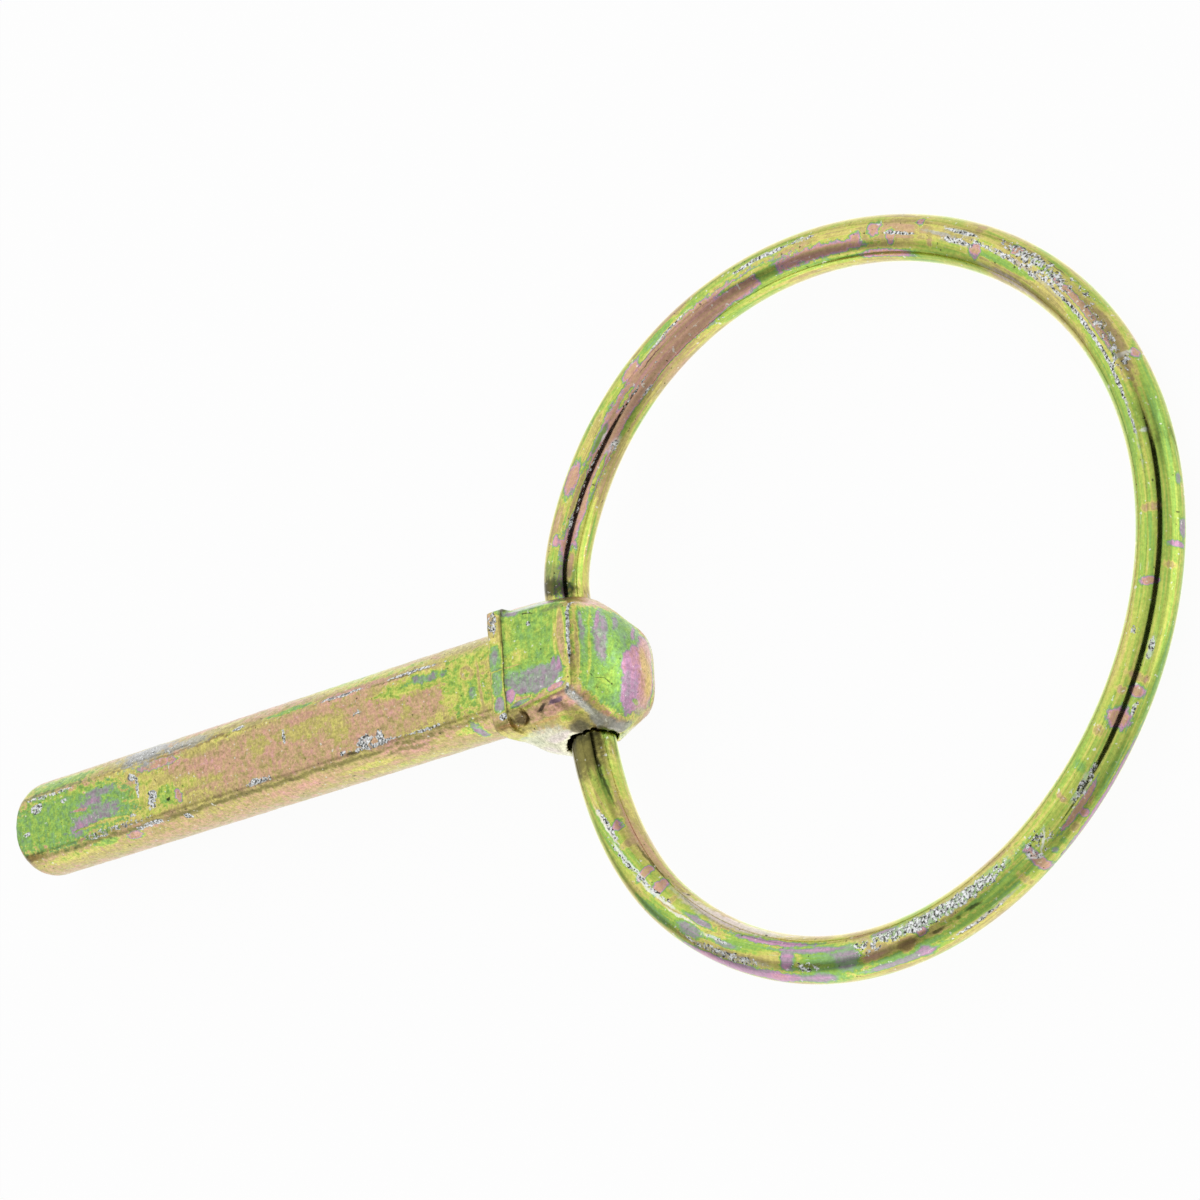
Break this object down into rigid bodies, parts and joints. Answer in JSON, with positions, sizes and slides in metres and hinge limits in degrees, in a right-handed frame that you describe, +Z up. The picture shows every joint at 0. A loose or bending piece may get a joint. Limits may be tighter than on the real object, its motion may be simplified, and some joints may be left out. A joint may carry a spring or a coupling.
{
  "type": "wheel lock pin",
  "caption": "Linch pin with a collared, cross-drilled forged head and a sprung wire ring that turns in the head's skewed cross hole.",
  "frame": {"origin": "under the middle of the part's box, on the level surface it lies on", "axes": "+X from the tip of the shank to the ring, +Y across, +Z up"},
  "size_m": [0.0928, 0.0454, 0.0078],
  "materials": {
    "pin_plating": "iridescent yellow zinc plating on forged steel, worn at the edges",
    "ring_plating": "iridescent yellow zinc plating on drawn spring wire, worn on the outside of the bend"
  },
  "bodies": {
    "pin": {"pin": "pin_plating"},
    "ring": {"ring": "ring_plating"}
  },
  "joints": [
    {"name": "ring_hinge", "type": "hinge", "parent": "pin", "child": "ring", "pos_m": [0.00375, 0.00046, 0.00399], "axis": [0.1478, -0.989, 0.0035], "range_deg": [-167, 178]}
  ]
}
